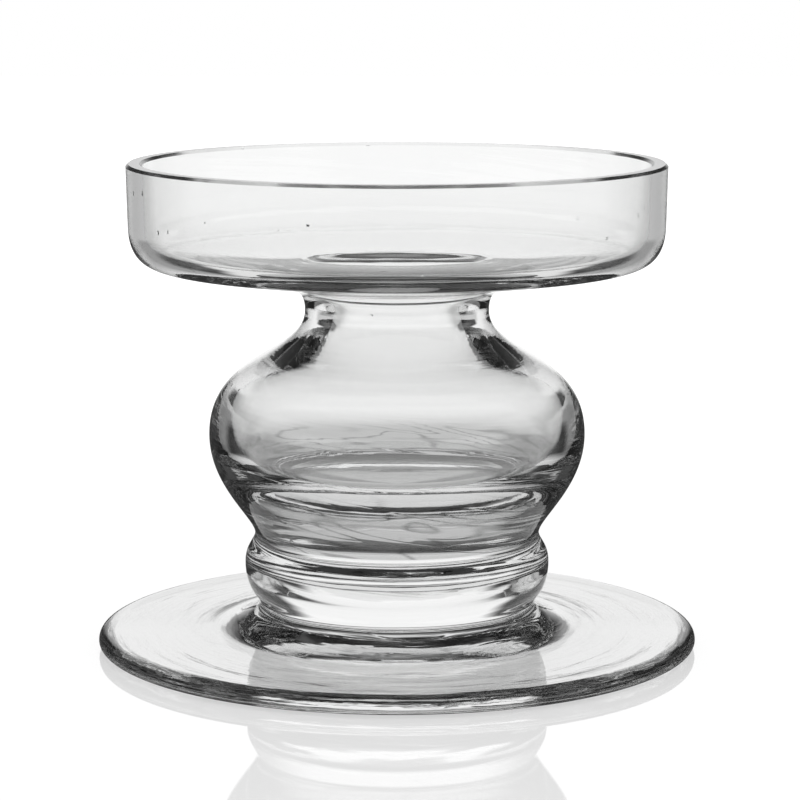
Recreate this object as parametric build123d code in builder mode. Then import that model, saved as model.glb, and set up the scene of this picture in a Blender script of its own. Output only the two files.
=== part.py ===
"""Footed bowl of clear blown glass for floating candles.

Four gathers of hot glass are stuck end to end on one upright axis: a foot disc,
a solid ring, a hollow bulb and a dish whose floor opens down into the bulb.
Millimetres, +Z up, origin at the middle of the underside of the foot.
"""

import os
from math import cos, radians, sin, tan

from build123d import *

# Heights of the four gathers, each from its lower seam to its upper one
foot_height = 12.2
ring_height = 20.1
bulb_height = 63.1
dish_height = 41.3

# Outer radii, from the table up
foot_radius = 84.4
lower_waist_radius = 38.8
ring_radius = 42.9
upper_waist_radius = 40.1
bulb_radius = 52.8
neck_radius = 25.8
dish_radius = 75.2

# Foot: a disc on a narrow resting ring, hollowed underneath
edge_height = 5.4
edge_round = 4.9
widest_height = 2.5
rest_width = 6.5
hollow_depth = 2.0
foot_top_rise = 0.5
fillet_width = 13.2

# Ring, bulb and the hollow in the bulb: how far their widest lines stand above the lower seams
ring_widest_height = 11.8
bulb_widest_height = 28.2
cavity_widest_height = 30.8

# Glass between the outside and the hollow
neck_wall = 8.0
bulb_wall = 5.6
bulb_floor_thickness = 12.5
dish_wall = 4.6

# Dish outside: flare from the neck, sloping underside in degrees, round corner, drafted wall
flare_width = 14.5
flare_height = 8.6
underside_slope = 8.7
corner_width = 8.3
corner_height = 12.0
wall_draft = 0.4
rim_bevel = 0.8

# Dish inside: round corner, floor that falls towards the mouth of the bore
inner_corner_width = 7.6
inner_corner_height = 8.0
floor_edge_height = 16.2
floor_fall = 3.0
mouth_radius = 26.8

# Handles of each bend at its start and end, as shares of the straight distance it spans
hollow_shares = (0.40, 0.30)
edge_under_shares = (0.10, 0.36)
edge_over_shares = (0.36, 0.57)
fillet_shares = (0.46, 0.13)
ring_lower_shares = (0.20, 0.68)
ring_upper_shares = (0.50, 0.29)
bulb_lower_shares = (0.16, 0.47)
bulb_upper_shares = (0.52, 0.29)
cavity_upper_shares = (0.41, 0.45)
cavity_lower_shares = (0.31, 0.60)
flare_shares = (0.36, 0.66)
corner_shares = (0.28, 0.62)
inner_corner_shares = (0.55, 0.45)
mouth_shares = (0.12, 0.35)

# Levels of the seams
ring_level = foot_height
bulb_level = ring_level + ring_height
dish_level = bulb_level + bulb_height
rim_level = dish_level + dish_height

# Radii of the hollows
bore_radius = neck_radius - neck_wall
cavity_radius = bulb_radius - bulb_wall

# Directions in a section: the first number is outward, the second is up
UP, DOWN, OUT, IN = (0, 1), (0, -1), (1, 0), (-1, 0)
SLOPE_OUT = (cos(radians(underside_slope)), sin(radians(underside_slope)))


def bend(start, leaving, end, arriving, shares):
    """Draws one smooth bend that leaves its start and reaches its end in set directions."""
    start, end = Vector(*start), Vector(*end)
    leaving_share, arriving_share = shares
    reach = (end - start).length
    first = start + Vector(*leaving).normalized() * reach * leaving_share
    second = end - Vector(*arriving).normalized() * reach * arriving_share
    return Bezier(start, first, second, end)


os.makedirs("parts", exist_ok=True)

# Foot: the underside is hollowed, so that only a narrow ring touches the table
rest_end = (foot_radius - edge_round, 0)
rest_start = (foot_radius - edge_round - rest_width, 0)
foot_widest = (foot_radius, widest_height)
foot_top_edge = (foot_radius - edge_round, edge_height)
fillet_start = (lower_waist_radius + fillet_width, edge_height + foot_top_rise)
lower_waist = (lower_waist_radius, ring_level)

with BuildPart() as foot_disc:
    with BuildSketch(Plane.XZ):
        with BuildLine():
            Line((0, ring_level), (0, hollow_depth))
            bend((0, hollow_depth), OUT, rest_start, OUT, hollow_shares)
            Line(rest_start, rest_end)
            bend(rest_end, OUT, foot_widest, UP, edge_under_shares)
            bend(foot_widest, UP, foot_top_edge, IN, edge_over_shares)
            Line(foot_top_edge, fillet_start)
            bend(fillet_start, IN, lower_waist, UP, fillet_shares)
            Line(lower_waist, (0, ring_level))
        make_face()
    revolve(axis=Axis.Z)
foot_disc.part.label = "foot_disc"
export_step(foot_disc.part, "parts/foot_disc.step")

# Ring: a solid knop between two waists
ring_widest = (ring_radius, ring_level + ring_widest_height)
upper_waist = (upper_waist_radius, bulb_level)

with BuildPart() as ring_knop:
    with BuildSketch(Plane.XZ):
        with BuildLine():
            Line((0, bulb_level), (0, ring_level))
            Line((0, ring_level), lower_waist)
            bend(lower_waist, UP, ring_widest, UP, ring_lower_shares)
            bend(ring_widest, UP, upper_waist, UP, ring_upper_shares)
            Line(upper_waist, (0, bulb_level))
        make_face()
    revolve(axis=Axis.Z)
ring_knop.part.label = "ring_knop"
export_step(ring_knop.part, "parts/ring_knop.step")

# Bulb: thick-walled, hollow from its floor up through the bore of its neck
bulb_widest = (bulb_radius, bulb_level + bulb_widest_height)
neck = (neck_radius, dish_level)
bore = (bore_radius, dish_level)
cavity_widest = (cavity_radius, bulb_level + cavity_widest_height)
cavity_floor = (0, bulb_level + bulb_floor_thickness)

with BuildPart() as hollow_bulb:
    with BuildSketch(Plane.XZ):
        with BuildLine():
            Line(cavity_floor, (0, bulb_level))
            Line((0, bulb_level), upper_waist)
            bend(upper_waist, UP, bulb_widest, UP, bulb_lower_shares)
            bend(bulb_widest, UP, neck, UP, bulb_upper_shares)
            Line(neck, bore)
            bend(bore, DOWN, cavity_widest, DOWN, cavity_upper_shares)
            bend(cavity_widest, DOWN, cavity_floor, IN, cavity_lower_shares)
        make_face()
    revolve(axis=Axis.Z)
hollow_bulb.part.label = "hollow_bulb"
export_step(hollow_bulb.part, "parts/hollow_bulb.step")

# Dish: its underside flares out of the neck, and its floor opens into the bore
flare_end = (neck_radius + flare_width, dish_level + flare_height)
corner_start_radius = dish_radius - wall_draft - corner_width
corner_start = (
    corner_start_radius,
    flare_end[1] + (corner_start_radius - flare_end[0]) * tan(radians(underside_slope)),
)
corner_end = (dish_radius - wall_draft, corner_start[1] + corner_height)
wall_top = (dish_radius, rim_level - rim_bevel)
rim_outer = (dish_radius - rim_bevel, rim_level)
rim_inner = (dish_radius - dish_wall + rim_bevel, rim_level)
inner_wall_top = (dish_radius - dish_wall, rim_level - rim_bevel)
floor_level = dish_level + floor_edge_height
inner_corner_end = (dish_radius - wall_draft - dish_wall, floor_level + inner_corner_height)
floor_edge = (inner_corner_end[0] - inner_corner_width, floor_level)
mouth = (mouth_radius, floor_level - floor_fall)
floor_direction = (mouth[0] - floor_edge[0], mouth[1] - floor_edge[1])

with BuildPart() as dish:
    with BuildSketch(Plane.XZ):
        with BuildLine():
            Line(bore, neck)
            bend(neck, UP, flare_end, SLOPE_OUT, flare_shares)
            Line(flare_end, corner_start)
            bend(corner_start, SLOPE_OUT, corner_end, UP, corner_shares)
            Line(corner_end, wall_top)
            Line(wall_top, rim_outer)
            Line(rim_outer, rim_inner)
            Line(rim_inner, inner_wall_top)
            Line(inner_wall_top, inner_corner_end)
            bend(inner_corner_end, DOWN, floor_edge, floor_direction, inner_corner_shares)
            Line(floor_edge, mouth)
            bend(mouth, floor_direction, bore, DOWN, mouth_shares)
        make_face()
    revolve(axis=Axis.Z)
dish.part.label = "dish"
export_step(dish.part, "parts/dish.step")
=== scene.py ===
import math

import bpy
import numpy as np
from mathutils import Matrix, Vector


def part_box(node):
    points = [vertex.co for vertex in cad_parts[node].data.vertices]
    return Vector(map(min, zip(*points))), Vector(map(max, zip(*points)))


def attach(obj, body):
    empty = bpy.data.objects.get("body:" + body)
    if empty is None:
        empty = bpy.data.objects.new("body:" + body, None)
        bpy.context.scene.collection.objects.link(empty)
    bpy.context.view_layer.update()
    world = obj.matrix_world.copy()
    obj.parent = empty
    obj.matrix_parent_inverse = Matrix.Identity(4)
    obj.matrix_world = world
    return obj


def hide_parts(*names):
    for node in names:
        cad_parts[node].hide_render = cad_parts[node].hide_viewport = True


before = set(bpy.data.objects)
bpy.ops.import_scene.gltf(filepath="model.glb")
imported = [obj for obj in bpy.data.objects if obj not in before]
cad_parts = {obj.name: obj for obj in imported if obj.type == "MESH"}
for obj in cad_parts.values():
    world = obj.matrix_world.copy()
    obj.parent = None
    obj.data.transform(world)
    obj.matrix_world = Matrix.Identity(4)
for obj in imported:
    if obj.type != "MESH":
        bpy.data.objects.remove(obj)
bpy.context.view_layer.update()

# Foot disc. The first gather of clear soft glass, spun out flat while it is hot.
# Its edge is fire-polished round, its underside is hollowed, and the narrow ring that it
# stands on is cut flat.
foot_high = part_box("foot_disc")[1]
ring_low, ring_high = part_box("ring_knop")

glass_ior = 1.51
around = 384                      # flats around every turned piece
lower_waist_radius = 0.0388
edge_height = 0.0054
edge_round = 0.0049
widest_height = 0.0025
rest_width = 0.0065
hollow_depth = 0.0020
foot_top_rise = 0.0005
fillet_width = 0.0132
hollow_shares = (0.40, 0.30)
edge_under_shares = (0.10, 0.36)
edge_over_shares = (0.36, 0.57)
fillet_shares = (0.46, 0.13)

UP, DOWN, OUT, IN = (0, 1), (0, -1), (1, 0), (-1, 0)
GLASS, JOINT, HOLLOW = 0, 1, 2    # the materials of a gather: its skin, its hot joints and its inside


def bend(start, leaving, end, arriving, shares, steps=40):
    """Points of one smooth bend, drawn closer together near its two ends."""
    start, end = np.array(start, float), np.array(end, float)
    leaving = np.array(leaving, float) / math.hypot(*leaving)
    arriving = np.array(arriving, float) / math.hypot(*arriving)
    reach = math.dist(start, end)
    first = start + leaving * reach * shares[0]
    second = end - arriving * reach * shares[1]
    t = (1 - np.cos(np.linspace(0, math.pi, steps + 1)[:, None])) / 2
    return (1 - t) ** 3 * start + 3 * (1 - t) ** 2 * t * first + 3 * (1 - t) * t**2 * second + t**3 * end


def straight(start, end, steps=1):
    """Points of one straight run."""
    return np.linspace(start, end, steps + 1)


def turned(name, runs, closed=False):
    """A mesh spun round the upright axis from runs of (radius, height), each with its material."""
    outline, kinds = [tuple(runs[0][0][0])], []
    for points, kind in runs:
        outline += [tuple(p) for p in points[1:]]
        kinds += [kind] * (len(points) - 1)
    if closed:
        outline.pop()
    angles = [2 * math.pi * k / around for k in range(around)]
    verts, rings = [], []
    for radius, height in outline:
        if radius < 1e-9:
            rings.append([len(verts)])
            verts.append((0, 0, height))
        else:
            rings.append(list(range(len(verts), len(verts) + around)))
            verts += [(radius * math.cos(a), radius * math.sin(a), height) for a in angles]
    faces, face_kinds = [], []
    for i, kind in enumerate(kinds):
        here, there = rings[i], rings[(i + 1) % len(rings)]
        for k in range(around):
            a, b = here[k % len(here)], here[(k + 1) % len(here)]
            c, d = there[(k + 1) % len(there)], there[k % len(there)]
            faces.append(tuple(dict.fromkeys((a, b, c, d))))
            face_kinds.append(kind)
    mesh = bpy.data.meshes.new(name)
    mesh.from_pydata(verts, [], faces)
    mesh.polygons.foreach_set("use_smooth", [True] * len(faces))
    mesh.polygons.foreach_set("material_index", face_kinds)
    mesh.set_sharp_from_angle(angle=math.radians(28))
    piece = bpy.data.objects.new(name, mesh)
    bpy.context.scene.collection.objects.link(piece)
    return piece


class Strand:
    """One shader socket. Sums on it add the Math nodes that work them out."""

    def __init__(self, socket):
        self.socket = socket

    @staticmethod
    def node(tree, kind, settings=None, inputs=None, output=0):
        """Adds a node: its settings first, then the values or links of its sockets."""
        node = tree.nodes.new(kind)
        for name, value in (settings or {}).items():
            setattr(node, name, value)
        for key, value in (inputs or {}).items():
            socket = node.inputs[key]
            if isinstance(value, Strand):
                tree.links.new(value.socket, socket)
            else:
                socket.default_value = value
        if isinstance(output, tuple):
            return [Strand(node.outputs[name]) for name in output]
        return Strand(node.outputs[output]) if node.outputs else None

    def maths(self, operation, first, second=0.0):
        return Strand.node(self.socket.id_data, "ShaderNodeMath", {"operation": operation},
                           {0: first, 1: second})

    def __add__(self, other):
        return self.maths("ADD", self, other)

    __radd__ = __add__

    def __sub__(self, other):
        return self.maths("SUBTRACT", self, other)

    def __rsub__(self, other):
        return self.maths("SUBTRACT", other, self)

    def __mul__(self, other):
        return self.maths("MULTIPLY", self, other)

    __rmul__ = __mul__

    def __truediv__(self, other):
        return self.maths("DIVIDE", self, other)

    def __pow__(self, other):
        return self.maths("POWER", self, other)

    def step(self, low, high):
        """0 below low, 1 above high, and smooth between."""
        return Strand.node(self.socket.id_data, "ShaderNodeMapRange", {"interpolation_type": "SMOOTHSTEP"},
                           {"Value": self, "From Min": low, "From Max": high})


def new_material(name):
    material = bpy.data.materials.new(name)
    material.use_nodes = True
    material.node_tree.nodes.clear()
    return material, material.node_tree


def drawn_noise(tree, place, out, across, along, lean, look):
    """Noise drawn out round the upright axis, as turning the hot glass draws it out."""
    x, y, z = place
    spot = Strand.node(tree, "ShaderNodeCombineXYZ", None, {0: x * across, 1: y * across, 2: out * along})
    return Strand.node(tree, "ShaderNodeTexNoise", {"noise_dimensions": "4D"},
                       {"Vector": spot, "W": z * along + x * lean, "Scale": 1.0, **look})


def clear_glass(name, line_depth, wave_depth=0.0, cord_depth=0.0, seed_depth=0.0,
                foot_places=None, bevel_levels=None, thick_levels=None):
    """Clear soft glass. Fine drawing lines run round it and slower waves lie between them.

    Cords are the narrow folds where one wave meets the next, and seeds are small pits.
    """
    material, tree = new_material(name)
    place = Strand.node(tree, "ShaderNodeTexCoord", output="Object")
    x, y, z = Strand.node(tree, "ShaderNodeSeparateXYZ", None, {0: place}, (0, 1, 2))
    out = (x * x + y * y) ** 0.5
    lines = drawn_noise(tree, (x, y, z), out, across=10, along=480, lean=40,
                        look={"Detail": 2.0, "Roughness": 0.5})
    waves = drawn_noise(tree, (x, y, z), out, across=14, along=90, lean=25,
                        look={"Detail": 1.0, "Distortion": 0.6})
    patches = Strand.node(tree, "ShaderNodeTexNoise", None, {"Vector": place, "Scale": 60.0, "Detail": 1.0})
    cords = (waves.maths("SINE", waves * 45) * 0.5 + 0.5) ** 8
    grey = 0.975 + 0.02 * patches
    rough = 0.0
    if foot_places:
        lined_edge = out.step(*foot_places["lined_edge_radii"])
        fillet = z.step(*foot_places["fillet_levels"])
        resting_ring = 1 - z.step(*foot_places["rest_levels"])
        line_depth = line_depth * (1 + 2.5 * lined_edge)
        wave_depth = wave_depth * (1 + fillet)
        cord_depth = cord_depth * (1 + 4 * fillet)
        rough = resting_ring * (0.01 + 0.02 * patches)
        grey = grey * 0.94
    if bevel_levels:
        bevel_start, bevel_end = bevel_levels
        ground = z.step(*bevel_start) * (1 - z.step(*bevel_end))
        rough = ground * (0.14 + 0.06 * patches)
    if thick_levels:
        thick = 1 - z.step(*thick_levels)
        wave_depth = wave_depth * thick
        cords = cords * thick * thick
        # Painted shade: the thick base is greyer than the rest, and its cords darker still
        grey = grey * (1 - 0.46 * thick) * (1 - 0.6 * cords)
    height = lines * (0.4 + 0.6 * patches) * line_depth + waves * wave_depth + cords * cord_depth
    if seed_depth:
        nearest_seed = Strand.node(tree, "ShaderNodeTexVoronoi", None, {"Vector": place, "Scale": 65.0})
        height = height - seed_depth * (1 - nearest_seed.step(0.012, 0.045))
    bump = Strand.node(tree, "ShaderNodeBump", None, {"Strength": 1.0, "Distance": 1.0, "Height": height})
    color = Strand.node(tree, "ShaderNodeCombineColor", None, {0: grey, 1: grey + 0.003, 2: grey + 0.001})
    shader = Strand.node(tree, "ShaderNodeBsdfPrincipled", None,
                         {"Base Color": color, "Roughness": rough, "IOR": glass_ior,
                          "Transmission Weight": 1.0, "Normal": bump})
    Strand.node(tree, "ShaderNodeOutputMaterial", None, {0: shader})
    return material


def joint_glass():
    """Glass stuck to glass while hot: nothing shows where two gathers meet."""
    material, tree = new_material("hot_joint")
    clear = Strand.node(tree, "ShaderNodeBsdfTransparent")
    Strand.node(tree, "ShaderNodeOutputMaterial", None, {0: clear})
    return material


hot_joint = joint_glass()

rest_end = (foot_high.x - edge_round, 0)
rest_start = (rest_end[0] - rest_width, 0)
foot_widest = (foot_high.x, widest_height)
foot_top_edge = (foot_high.x - edge_round, edge_height)
fillet_start = (lower_waist_radius + fillet_width, edge_height + foot_top_rise)
lower_waist = (lower_waist_radius, ring_low.z)
foot = turned("foot", [
    (bend((0, hollow_depth), OUT, rest_start, OUT, hollow_shares), GLASS),
    (straight(rest_start, rest_end, 4), GLASS),
    (bend(rest_end, OUT, foot_widest, UP, edge_under_shares, 20), GLASS),
    (bend(foot_widest, UP, foot_top_edge, IN, edge_over_shares, 24), GLASS),
    (straight(foot_top_edge, fillet_start, 24), GLASS),
    (bend(fillet_start, IN, lower_waist, UP, fillet_shares), GLASS),
    (straight(lower_waist, (0, ring_low.z)), JOINT),
])
# Where its skin starts to change and has changed: lined edge, uneven fillet, cut resting ring
foot_places = {
    "lined_edge_radii": (0.076, 0.081),
    "fillet_levels": (0.006, 0.008),
    "rest_levels": (0.000012, 0.000024),
}
foot.data.materials.append(clear_glass("foot_glass", line_depth=0.00006, wave_depth=0.00030,
                                       cord_depth=0.000006, foot_places=foot_places))
foot.data.materials.append(hot_joint)
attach(foot, "root")
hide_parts("foot_disc")

# Ring knop. A short solid gather squeezed between two waists, stuck to the foot while hot.
# It is fire-polished all round and keeps only faint lines from the turning.
bulb_low, bulb_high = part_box("hollow_bulb")
ring_widest_height = 0.0118
upper_waist_radius = 0.0401
ring_lower_shares = (0.20, 0.68)
ring_upper_shares = (0.50, 0.29)

ring_widest = (ring_high.x, ring_low.z + ring_widest_height)
upper_waist = (upper_waist_radius, bulb_low.z)
ring = turned("ring", [
    (straight((0, ring_low.z), lower_waist), JOINT),
    (bend(lower_waist, UP, ring_widest, UP, ring_lower_shares), GLASS),
    (bend(ring_widest, UP, upper_waist, UP, ring_upper_shares), GLASS),
    (straight(upper_waist, (0, bulb_low.z)), JOINT),
])
ring.data.materials.append(clear_glass("ring_glass", line_depth=0.00003, wave_depth=0.00008))
ring.data.materials.append(hot_joint)
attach(ring, "root")
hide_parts("ring_knop")

# Hollow bulb. A thick-walled bubble drawn in to a narrow neck, hollow from its floor up.
# Its top is open where it is stuck to the dish, so water runs down into it. Its thick
# base is uneven, and painted shade makes it greyer than the rest, its cords darker still.
dish_low, dish_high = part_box("dish")
bulb_widest_height = 0.0282
neck_radius = 0.0258
neck_wall = 0.0080
bulb_wall = 0.0056
bulb_floor_thickness = 0.0125
cavity_widest_height = 0.0308
thick_levels = (0.046, 0.056)     # all thick glass below the first, and none above the second; its grey is painted shade
bulb_lower_shares = (0.16, 0.47)
bulb_upper_shares = (0.52, 0.29)
cavity_upper_shares = (0.41, 0.45)
cavity_lower_shares = (0.31, 0.60)

bulb_widest = (bulb_high.x, bulb_low.z + bulb_widest_height)
neck = (neck_radius, dish_low.z)
bore = (neck_radius - neck_wall, dish_low.z)
cavity_widest = (bulb_high.x - bulb_wall, bulb_low.z + cavity_widest_height)
cavity_floor = (0, bulb_low.z + bulb_floor_thickness)
bulb = turned("bulb", [
    (straight((0, bulb_low.z), upper_waist), JOINT),
    (bend(upper_waist, UP, bulb_widest, UP, bulb_lower_shares, 60), GLASS),
    (bend(bulb_widest, UP, neck, UP, bulb_upper_shares, 70), GLASS),
    (straight(neck, bore), JOINT),
    (bend(bore, DOWN, cavity_widest, DOWN, cavity_upper_shares, 64), HOLLOW),
    (bend(cavity_widest, DOWN, cavity_floor, IN, cavity_lower_shares, 60), HOLLOW),
])
bulb.data.materials.append(clear_glass("bulb_glass", line_depth=0.00003, wave_depth=0.00034,
                                       cord_depth=0.000020, seed_depth=0.00025,
                                       thick_levels=thick_levels))
bulb.data.materials.append(hot_joint)
# No tool touches the inside of a blown bulb, so its skin is the smoother one
bulb.data.materials.append(clear_glass("bulb_inside", line_depth=0.00003, wave_depth=0.00005))
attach(bulb, "root")
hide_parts("hollow_bulb")

# Dish. The last gather, opened out into a shallow dish with an upright wall. Its rim is cut
# level and polished, with a fine ground bevel on both sides, and its floor falls into the
# bore of the neck.
dish_wall = 0.0046
flare_width = 0.0145
flare_height = 0.0086
underside_slope = math.radians(8.7)
corner_width = 0.0083
corner_height = 0.0120
wall_draft = 0.0004
rim_bevel = 0.0008
inner_corner_width = 0.0076
inner_corner_height = 0.0080
floor_edge_height = 0.0162
floor_fall = 0.0030
mouth_radius = 0.0268
flare_shares = (0.36, 0.66)
corner_shares = (0.28, 0.62)
inner_corner_shares = (0.55, 0.45)
mouth_shares = (0.12, 0.35)

slope_out = (math.cos(underside_slope), math.sin(underside_slope))
flare_end = (neck_radius + flare_width, dish_low.z + flare_height)
corner_radius = dish_high.x - wall_draft - corner_width
corner_start = (corner_radius, flare_end[1] + (corner_radius - flare_end[0]) * math.tan(underside_slope))
corner_end = (dish_high.x - wall_draft, corner_start[1] + corner_height)
wall_top = (dish_high.x, dish_high.z - rim_bevel)
rim_outer = (dish_high.x - rim_bevel, dish_high.z)
rim_inner = (dish_high.x - dish_wall + rim_bevel, dish_high.z)
inner_wall_top = (dish_high.x - dish_wall, dish_high.z - rim_bevel)
floor_level = dish_low.z + floor_edge_height
inner_corner_end = (dish_high.x - wall_draft - dish_wall, floor_level + inner_corner_height)
floor_edge = (inner_corner_end[0] - inner_corner_width, floor_level)
mouth = (mouth_radius, floor_level - floor_fall)
floor_direction = (mouth[0] - floor_edge[0], mouth[1] - floor_edge[1])
dish = turned("dish_bowl", [
    (bend(neck, UP, flare_end, slope_out, flare_shares, 50), GLASS),
    (straight(flare_end, corner_start, 12), GLASS),
    (bend(corner_start, slope_out, corner_end, UP, corner_shares), GLASS),
    (straight(corner_end, wall_top, 6), GLASS),
    (straight(wall_top, rim_outer), GLASS),
    (straight(rim_outer, rim_inner), GLASS),
    (straight(rim_inner, inner_wall_top), GLASS),
    (straight(inner_wall_top, inner_corner_end, 6), GLASS),
    (bend(inner_corner_end, DOWN, floor_edge, floor_direction, inner_corner_shares), GLASS),
    (straight(floor_edge, mouth, 12), GLASS),
    (bend(mouth, floor_direction, bore, DOWN, mouth_shares, 50), GLASS),
    (straight(bore, neck), JOINT),
], closed=True)
# Between which levels the ground bevel starts under the rim, and ends at its polished top
bevel_levels = (
    (dish_high.z - 0.0009, dish_high.z - 0.0007),
    (dish_high.z - 0.00004, dish_high.z - 0.00001),
)
dish.data.materials.append(clear_glass("dish_glass", line_depth=0.00002, seed_depth=0.00025,
                                       bevel_levels=bevel_levels))
dish.data.materials.append(hot_joint)
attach(dish, "root")
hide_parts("dish")

# Table. A plain white sheet with a polished face, which mirrors the bowl weakly. What the
# glass shows of it is painted light and shade, set by how far out and in which direction a ray
# lands: painted white behind the bowl and in the camera's half, and painted shade between them at both
# sides.
table_reach = 3.0
table_gap = 0.00005
covered_tone = 0.52               # painted shade under the stem, where little light comes
open_tone = 0.83                  # painted light behind the bowl and in the camera's half
flank_tone = 0.36                 # painted shade off to either side of the backdrop
side_tone = 0.08                  # painted shade straight beside the bowl, where the room is dark
# painted shade of the table under the foot, seen straight through it
foot_shade = 0.82
near_glow = 0.79
far_glow_rise = 0.25
table_gloss_ior = 1.75
rear_start = (74, 86)             # degrees from behind the bowl to the painted white half of the room
strip_edge = (9, 18)              # degrees to the edge of the painted white strip that the polish mirrors
many_turns = (4.5, 6)             # turns in the glass past which the white half is painted dark

table_mesh = bpy.data.meshes.new("table")
table_mesh.from_pydata([(-table_reach, -table_reach, -table_gap), (table_reach, -table_reach, -table_gap),
                        (table_reach, table_reach, -table_gap), (-table_reach, table_reach, -table_gap)],
                       [], [(0, 1, 2, 3)])
table = bpy.data.objects.new("table", table_mesh)
bpy.context.scene.collection.objects.link(table)


def turned_from_behind(x, y):
    """Degrees between straight behind the bowl, 0, and the camera, 180, on either side."""
    turn = x.maths("ARCTAN2", x, y)
    return turn.maths("ABSOLUTE", turn) / math.pi * 180


def long_way_share(turns):
    """Painted shade: light that turns often inside the glass arrives weaker, but for the rim's trapped
    light.
    """
    return 1 - 0.95 * turns.step(6, 9) * (1 - 0.7 * turns.step(15, 18))


table_white, tree = new_material("table_white")
spot = Strand.node(tree, "ShaderNodeTexCoord", output="Object")
along_x, along_y = Strand.node(tree, "ShaderNodeSeparateXYZ", None, {0: spot}, (0, 1))
away = Strand.node(tree, "ShaderNodeVectorMath", {"operation": "LENGTH"}, {0: spot}, output="Value")
turn = turned_from_behind(along_x, along_y)
camera_ray, clear_ray, turns = Strand.node(
    tree, "ShaderNodeLightPath", output=("Is Camera Ray", "Is Transmission Ray", "Ray Depth"))

# Painted shade on the sheet, as the glass shows it: lighter further out, darker under the stem, and darkest
# in the fillet's painted shadow
to_rear = turn.step(*rear_start)
to_flank = turn.step(16, 28) * (1 - to_rear)
to_side = turn.step(44, 56)
behind = open_tone + 0.17 * away.step(0.15, 0.40)
flank = flank_tone + 0.24 * away.step(0.10, 0.17)
beside = side_tone + 0.52 * away.step(0.22, 0.42)
sheet = behind * (1 - to_flank) + to_flank * (flank * (1 - to_side) + beside * to_side)
covered = covered_tone * (1 - 0.5 * to_flank * to_side)
past_fillet = away.step(0.052, 0.078)
fillet_shadow = away.step(0.036, 0.045) * (1 - away.step(0.049, 0.064))
shade = (covered * (1 - past_fillet) + sheet * past_fillet) * (1 - 0.9 * fillet_shadow)

# Short ways go straight through the ring or foot, and find painted shade on the side of the table. After
# many turns the camera's half is painted dark too
short_way = 1 - turns.step(2.6, 3.4)
wedge = turn.step(26, 38) * (1 - turn.step(58, 70)) * away.step(0.09, 0.12) * (1 - away.step(0.6, 0.9))
shade = shade * (1 - 0.92 * short_way * wedge) * (1 - 0.9 * to_rear * turns.step(*many_turns))

# Straight through the foot, the table under it shows a light painted shade
under_foot = (1 - turns.step(3, 4)) * (1 - away.step(0.10, 0.13))
shade = shade * (1 - under_foot) + foot_shade * under_foot

# Painted reflection: in the polish of the glass the table shows white only straight behind
painted_reflection = 1 - 0.95 * turn.step(*strip_edge)
far_off = away.step(0.2, 0.5)
seen = clear_ray * shade * long_way_share(turns) + (1 - clear_ray) * painted_reflection
level = camera_ray * (near_glow + far_glow_rise * far_off) + (1 - camera_ray) * seen
glow = Strand.node(tree, "ShaderNodeEmission", None, {"Color": level, "Strength": 1.0})
matt = Strand.node(tree, "ShaderNodeBsdfDiffuse", None, {"Color": (0.28, 0.28, 0.28, 1)})
body = Strand.node(tree, "ShaderNodeAddShader", None, {0: glow, 1: matt})
body = Strand.node(tree, "ShaderNodeMixShader", None, {0: camera_ray, 1: glow, 2: body})
polish = Strand.node(tree, "ShaderNodeBsdfAnisotropic", None, {"Color": (1, 1, 1, 1), "Roughness": 0.03})
mirror_share = Strand.node(tree, "ShaderNodeFresnel", None, {"IOR": table_gloss_ior})
mirror_share = mirror_share * camera_ray * (1 - far_off)
both = Strand.node(tree, "ShaderNodeMixShader", None, {0: mirror_share, 1: body, 2: polish})
Strand.node(tree, "ShaderNodeOutputMaterial", None, {0: both})
table_mesh.materials.append(table_white)

# Studio. The camera and diffuse light see the world plain white; the glass sees painted light
# and shade. A white backdrop fills the view behind the bowl, and the camera's half of the room
# is white too. Between them both sides are painted dark, and so is the ceiling, which draws the
# edges of the glass.
backdrop_half_angle = 27
backdrop_widening = 16            # more degrees higher up
backdrop_softness = 5

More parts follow.
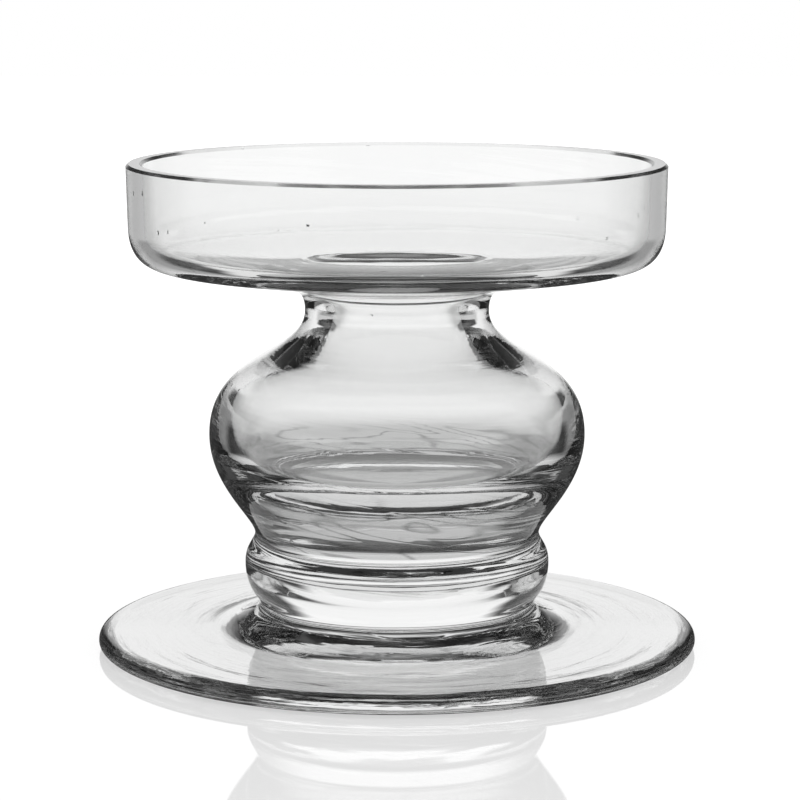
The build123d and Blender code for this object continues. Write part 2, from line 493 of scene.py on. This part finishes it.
studio = bpy.data.worlds.new("studio")
bpy.context.scene.world = studio
studio.use_nodes = True
tree = studio.node_tree
tree.nodes.clear()
way = Strand.node(tree, "ShaderNodeTexCoord", output="Generated")
to_x, to_y, to_z = Strand.node(tree, "ShaderNodeSeparateXYZ", None, {0: way}, (0, 1, 2))
turn = turned_from_behind(to_x, to_y)
rise = to_z.maths("ARCSINE", to_z) / math.pi * 180
camera_ray, glossy_ray, clear_ray, turns = Strand.node(
    tree, "ShaderNodeLightPath",
    output=("Is Camera Ray", "Is Glossy Ray", "Is Transmission Ray", "Ray Depth"))

# Painted light and shade through the glass, by degrees to the side and up
backdrop_edge = backdrop_half_angle + backdrop_widening * rise.step(4, 20)
backdrop = 1 - turn.step(backdrop_edge - backdrop_softness, backdrop_edge + backdrop_softness)
room = 0.03 + 0.87 * turn.step(*rear_start) * (1 - 0.9 * turns.step(*many_turns))
low = backdrop * 0.97 + (1 - backdrop) * room
high = 0.04 + 0.22 * (1 - turn.step(12, 40)) * (1 - rise.step(30, 45))
ceiling = rise.step(21, 28)
through_glass = low * (1 - ceiling) + high * ceiling

# Painted reflection in the polish of the glass: white only straight behind and, above the table, near the
# camera
side_dark = turn.step(*strip_edge) * (1 - rise.step(4, 7) * turn.step(70, 85))
painted_reflection = (1 - 0.97 * side_dark) * (1 - 0.97 * rise.step(17, 24))

graded = clear_ray * through_glass * long_way_share(turns) + (1 - clear_ray) * painted_reflection
not_camera = glossy_ray * graded + (1 - glossy_ray)
strength = camera_ray + (1 - camera_ray) * not_camera
sky = Strand.node(tree, "ShaderNodeBackground", None, {"Color": strength, "Strength": 1.0})
Strand.node(tree, "ShaderNodeOutputWorld", None, {0: sky})

# Camera. It stands 0.85 m off and looks 9 degrees down, through a long lens. Light may turn
# often in the thick glass before it leaves.
eye_place = (0.00085, -0.844, 0.2053)
look_down = 9.13
most_turns = 40
most_joints = 24                  # hot joints that light may cross

eye = bpy.data.cameras.new("eye")
eye.sensor_width = 36
eye.lens = 136.8
camera = bpy.data.objects.new("camera", eye)
bpy.context.scene.collection.objects.link(camera)
camera.location = eye_place
camera.rotation_euler = (math.radians(90 - look_down), 0, 0)
scene = bpy.context.scene
scene.camera = camera
scene.view_settings.view_transform = "Standard"
scene.cycles.max_bounces = most_turns
scene.cycles.transmission_bounces = most_turns
scene.cycles.glossy_bounces = most_turns
scene.cycles.transparent_max_bounces = most_joints
